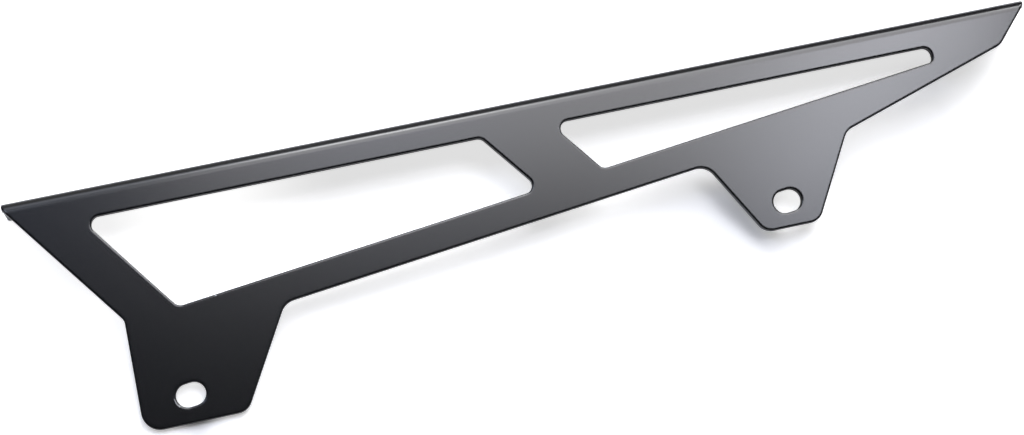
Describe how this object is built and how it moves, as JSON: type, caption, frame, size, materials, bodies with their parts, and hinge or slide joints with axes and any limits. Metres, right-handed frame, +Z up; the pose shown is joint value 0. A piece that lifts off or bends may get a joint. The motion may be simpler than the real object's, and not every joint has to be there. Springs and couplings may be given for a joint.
{
  "type": "motorcycle chain guard",
  "caption": "Folded sheet-metal guard for a motorcycle's upper chain run: a cut-out side plate with slotted mounting tabs and a flange turned back over the chain.",
  "frame": {"origin": "midway between the centres of the two bolt slots, on the back face of the plate", "axes": "+X along the line of the two slots towards the tail, +Y from the plate's outer face to the wheel side, the way the flange turns, +Z up as the guard is bolted on"},
  "size_m": [0.4221, 0.026, 0.1067],
  "materials": {
    "coated_sheet": "satin black powder coat"
  },
  "bodies": {
    "root": {"chain_guard": "coated_sheet"}
  },
  "joints": []
}
